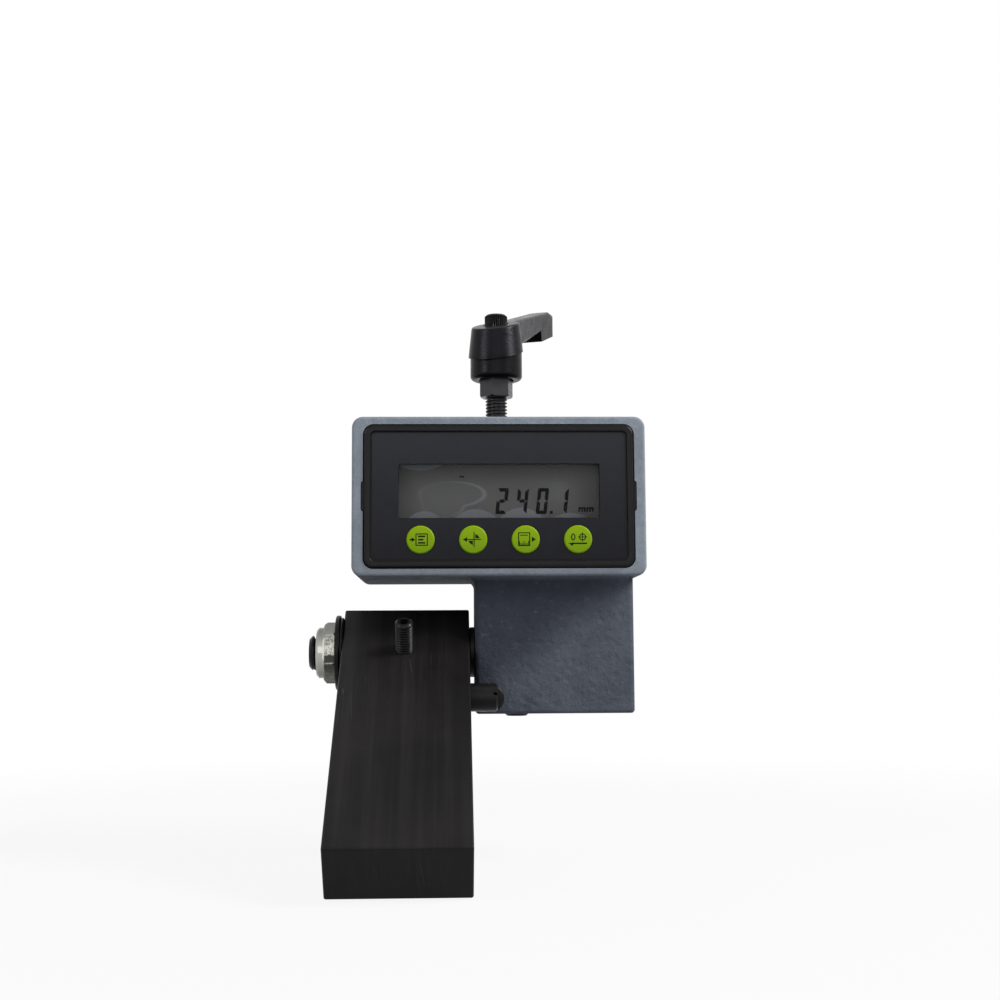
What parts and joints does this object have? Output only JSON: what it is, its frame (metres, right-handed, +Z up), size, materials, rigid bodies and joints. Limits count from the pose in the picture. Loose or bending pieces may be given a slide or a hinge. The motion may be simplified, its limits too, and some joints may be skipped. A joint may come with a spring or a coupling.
{
  "type": "digital readout",
  "caption": "Sliding digital length stop: a cast carriage with a slot, a display module with round keys, a clamp lever on top and a swinging stop arm below.",
  "frame": {"origin": "middle of the slot, halfway along the clamp side of the carriage", "axes": "+X along the slot, the display faces -Y, +Z up towards the clamp"},
  "size_m": [0.1164, 0.1699, 0.2104],
  "materials": {
    "casting_paint": "satin blue-grey paint on a casting",
    "module_plastic": "fine matt black",
    "foil_print": "satin charcoal print",
    "clear_window": "clear, glossy",
    "lcd_glass": "dark olive grey display",
    "key_green": "satin yellow-green",
    "white_plastic": "plain moulded",
    "strip_rubber": "soft",
    "board_green": "solder mask",
    "potted_plastic": "potted black",
    "plain_steel": "machined, lightly oiled",
    "bright_steel": "bright",
    "black_steel": "black oxide",
    "arm_steel": "black oxide over brushed steel",
    "zinc_steel": "zinc plated",
    "nut_nylon": "translucent white",
    "pad_brass": "machined",
    "lever_black": "black powder coat"
  },
  "bodies": {
    "carriage": {"carriage_casting": "casting_paint", "module_front": "module_plastic", "module_rear": "module_plastic", "front_foil": "foil_print", "display_window": "clear_window", "display_cell": "lcd_glass", "cell_holder": "white_plastic", "contact_strips": "strip_rubber", "circuit_board": "board_green", "key_switches": "module_plastic", "module_screws": "plain_steel", "battery_cup": "module_plastic", "button_battery": "bright_steel", "battery_cover": "module_plastic", "sensor_head": "potted_plastic", "sensor_screws": "plain_steel", "sensor_header": "module_plastic", "pivot_stud": "black_steel", "pivot_lock_screw": "black_steel", "pivot_nut": "zinc_steel", "nut_ring": "nut_nylon", "pivot_washer": "black_steel", "slide_washer": "module_plastic", "thrust_washer": "black_steel", "rest_screw": "black_steel"},
    "key_1": {"key_cap_1": "key_green", "key_plunger_1": "white_plastic"},
    "key_2": {"key_cap_2": "key_green", "key_plunger_2": "white_plastic"},
    "key_3": {"key_cap_3": "key_green", "key_plunger_3": "white_plastic"},
    "key_4": {"key_cap_4": "key_green", "key_plunger_4": "white_plastic"},
    "pad": {"clamp_pad": "pad_brass"},
    "stud": {"clamp_stud": "plain_steel", "retaining_screw": "black_steel", "lever_spring": "bright_steel"},
    "lever": {"clamp_lever": "lever_black"},
    "arm": {"stop_arm": "arm_steel", "arm_screw": "black_steel", "rest_pin": "black_steel"}
  },
  "joints": [
    {"name": "key_1_press", "type": "slide", "parent": "carriage", "child": "key_1", "axis": [0, 1, 0], "range_m": [0, 0.0004], "stiffness_N_per_m": 1500, "springref_m": -0.0002},
    {"name": "key_2_press", "type": "slide", "parent": "carriage", "child": "key_2", "axis": [0, 1, 0], "range_m": [0, 0.0004], "stiffness_N_per_m": 1500, "springref_m": -0.0002},
    {"name": "key_3_press", "type": "slide", "parent": "carriage", "child": "key_3", "axis": [0, 1, 0], "range_m": [0, 0.0004], "stiffness_N_per_m": 1500, "springref_m": -0.0002},
    {"name": "key_4_press", "type": "slide", "parent": "carriage", "child": "key_4", "axis": [0, 1, 0], "range_m": [0, 0.0004], "stiffness_N_per_m": 1500, "springref_m": -0.0002},
    {"name": "pad_press", "type": "slide", "parent": "carriage", "child": "pad", "axis": [0, 0, 1], "range_m": [0, 0.000746]},
    {"name": "clamp_turn", "type": "hinge", "parent": "pad", "child": "stud", "pos_m": [0.0004, 0, 0.02], "axis": [0, 0, 1], "range_deg": [0, 215]},
    {"name": "lever_lift", "type": "slide", "parent": "stud", "child": "lever", "axis": [0, 0, 1], "range_m": [0, 0.004], "stiffness_N_per_m": 1200, "springref_m": -0.002, "deforming": ["lever_spring"]},
    {"name": "arm_pivot", "type": "hinge", "parent": "carriage", "child": "arm", "pos_m": [0, -0.0172, -0.0526], "axis": [-1, 0, 0], "range_deg": [0, 61]}
  ],
  "couplings": [
    {"joint": "clamp_turn", "follows": "pad_press", "rad_per_m": 5026.5}
  ]
}
